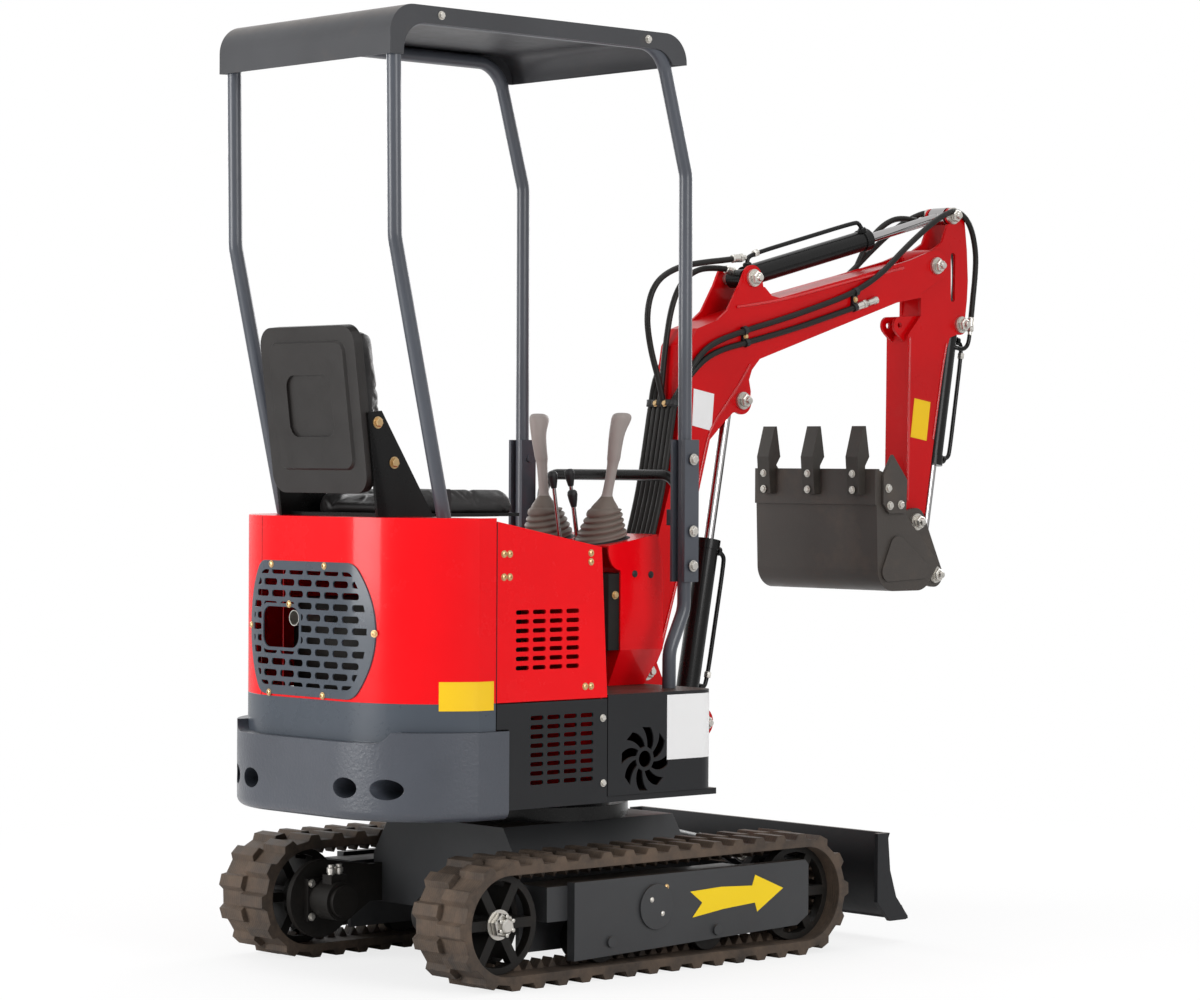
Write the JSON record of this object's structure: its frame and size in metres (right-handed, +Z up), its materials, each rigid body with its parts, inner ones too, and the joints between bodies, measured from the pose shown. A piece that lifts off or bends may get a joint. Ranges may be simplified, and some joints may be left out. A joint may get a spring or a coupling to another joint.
{
  "type": "mini excavator",
  "caption": "Compact tracked excavator with a canopy, a boom, dipper and bucket worked by hydraulic cylinders, and a dozer blade.",
  "frame": {"origin": "on the ground below the middle of the machine's length and width, at rest", "axes": "+X forward along the digging arm, +Y to the operator's left, +Z up"},
  "size_m": [2.324, 0.93, 2.288],
  "materials": {
    "red_paint": "gloss",
    "grey_paint": "satin",
    "blue_grey_paint": "satin",
    "black_steel": "satin",
    "track_rubber": "matte",
    "zinc_steel": "satin",
    "chrome_rod": "polished",
    "grey_plastic": "matte",
    "seat_vinyl": "satin",
    "cast_steel": "matte"
  },
  "bodies": {
    "undercarriage": {"centre_frame": "grey_paint", "slew_ring_lower": "zinc_steel", "track_frames": "grey_paint", "track_right": "track_rubber", "track_left": "track_rubber", "drive_wheels": "black_steel", "idler_wheels": "black_steel", "rollers": "black_steel", "travel_motors": "black_steel", "undercarriage_pins": "zinc_steel"},
    "upper": {"slew_ring_upper": "black_steel", "deck_plate": "grey_paint", "front_box": "grey_paint", "boom_bracket": "red_paint", "counterweight": "grey_paint", "hood": "red_paint", "side_panel_right": "red_paint", "side_panel_left": "red_paint", "skirt_right": "grey_paint", "skirt_left": "grey_paint", "engine": "cast_steel", "seat_base": "red_paint", "console": "red_paint", "joysticks": "grey_plastic", "levers": "zinc_steel", "seat_back_pan": "black_steel", "seat_back_cushion": "seat_vinyl", "seat_cushion": "seat_vinyl", "seat_brackets": "black_steel", "rops_right": "blue_grey_paint", "rops_left": "blue_grey_paint", "post_brackets": "blue_grey_paint", "hoop": "blue_grey_paint", "canopy": "blue_grey_paint", "upper_pins": "zinc_steel", "rear_skirt": "grey_paint", "rear_grille": "grey_paint", "exhaust_pipe": "black_steel", "valve_block": "black_steel"},
    "boom": {"boom": "red_paint", "boom_pins": "zinc_steel"},
    "arm": {"dipper": "red_paint", "dipper_pins": "zinc_steel"},
    "bucket": {"bucket": "grey_paint", "bucket_teeth": "grey_paint", "side_cutters": "grey_paint", "bucket_pins": "zinc_steel"},
    "blade": {"blade": "grey_paint", "blade_pins": "zinc_steel"},
    "boom_barrel": {"boom_cylinder_barrel": "black_steel"},
    "boom_rod": {"boom_cylinder_rod": "chrome_rod"},
    "arm_barrel": {"arm_cylinder_barrel": "black_steel"},
    "arm_rod": {"arm_cylinder_rod": "chrome_rod"},
    "bucket_barrel": {"bucket_cylinder_barrel": "black_steel"},
    "bucket_rod": {"bucket_cylinder_rod": "chrome_rod"},
    "blade_barrel": {"blade_cylinder_barrel": "black_steel"},
    "blade_rod": {"blade_cylinder_rod": "chrome_rod"}
  },
  "joints": [
    {"name": "slew", "type": "hinge", "parent": "undercarriage", "child": "upper", "pos_m": [-0.397, 0, 0.38], "axis": [0, 0, 1], "continuous": true},
    {"name": "boom_swing", "type": "hinge", "parent": "upper", "child": "boom", "pos_m": [-0.097, 0, 0.7], "axis": [0, -1, 0], "range_deg": [-60, 10]},
    {"name": "arm_swing", "type": "hinge", "parent": "boom", "child": "arm", "pos_m": [1.015, 0, 1.779], "axis": [0, -1, 0], "range_deg": [-8, 95]},
    {"name": "bucket_swing", "type": "hinge", "parent": "arm", "child": "bucket", "pos_m": [0.935, 0, 1.073], "axis": [0, -1, 0], "range_deg": [-8, 95]},
    {"name": "blade_swing", "type": "hinge", "parent": "undercarriage", "child": "blade", "pos_m": [-0.057, 0, 0.15], "axis": [0, 1, 0], "range_deg": [-15, 25]},
    {"name": "boom_barrel_swing", "type": "hinge", "parent": "upper", "child": "boom_barrel", "pos_m": [0.108, 0, 0.56], "axis": [0, -1, 0], "range_deg": [-60.94, 10.57]},
    {"name": "boom_rod_slide", "type": "slide", "parent": "boom_barrel", "child": "boom_rod", "axis": [0.1848, 0, 0.9828], "range_m": [-0.25281, 0.04297]},
    {"name": "arm_barrel_swing", "type": "hinge", "parent": "boom", "child": "arm_barrel", "pos_m": [0.303, 0, 1.718], "axis": [0, -1, 0], "range_deg": [-0.65, 2.29]},
    {"name": "arm_rod_slide", "type": "slide", "parent": "arm_barrel", "child": "arm_rod", "axis": [0.9686, 0, 0.2486], "range_m": [-0.24172, 0.02127]},
    {"name": "bucket_barrel_swing", "type": "hinge", "parent": "arm", "child": "bucket_barrel", "pos_m": [1.131, 0, 1.62], "axis": [0, -1, 0], "range_deg": [-1.05, 7.07]},
    {"name": "bucket_rod_slide", "type": "slide", "parent": "bucket_barrel", "child": "bucket_rod", "axis": [-0.1706, 0, -0.9853], "range_m": [-0.23574, 0.02077]},
    {"name": "blade_barrel_swing", "type": "hinge", "parent": "undercarriage", "child": "blade_barrel", "pos_m": [-0.067, 0, 0.29], "axis": [0, 1, 0], "range_deg": [-13.46, 22.09]},
    {"name": "blade_rod_slide", "type": "slide", "parent": "blade_barrel", "child": "blade_rod", "axis": [0.9762, 0, -0.2169], "range_m": [-0.03603, 0.05938]}
  ],
  "couplings": [
    {"joint": "boom_barrel_swing", "follows": "boom_swing", "ratio": 1.0074},
    {"joint": "boom_rod_slide", "follows": "boom_swing", "m_per_rad": 0.24046},
    {"joint": "arm_barrel_swing", "follows": "arm_swing", "ratio": 0.01888},
    {"joint": "arm_rod_slide", "follows": "arm_swing", "m_per_rad": -0.14518},
    {"joint": "bucket_barrel_swing", "follows": "bucket_swing", "ratio": 0.06917},
    {"joint": "bucket_rod_slide", "follows": "bucket_swing", "m_per_rad": -0.14157},
    {"joint": "blade_barrel_swing", "follows": "blade_swing", "ratio": 0.86372},
    {"joint": "blade_rod_slide", "follows": "blade_swing", "m_per_rad": 0.1338}
  ]
}
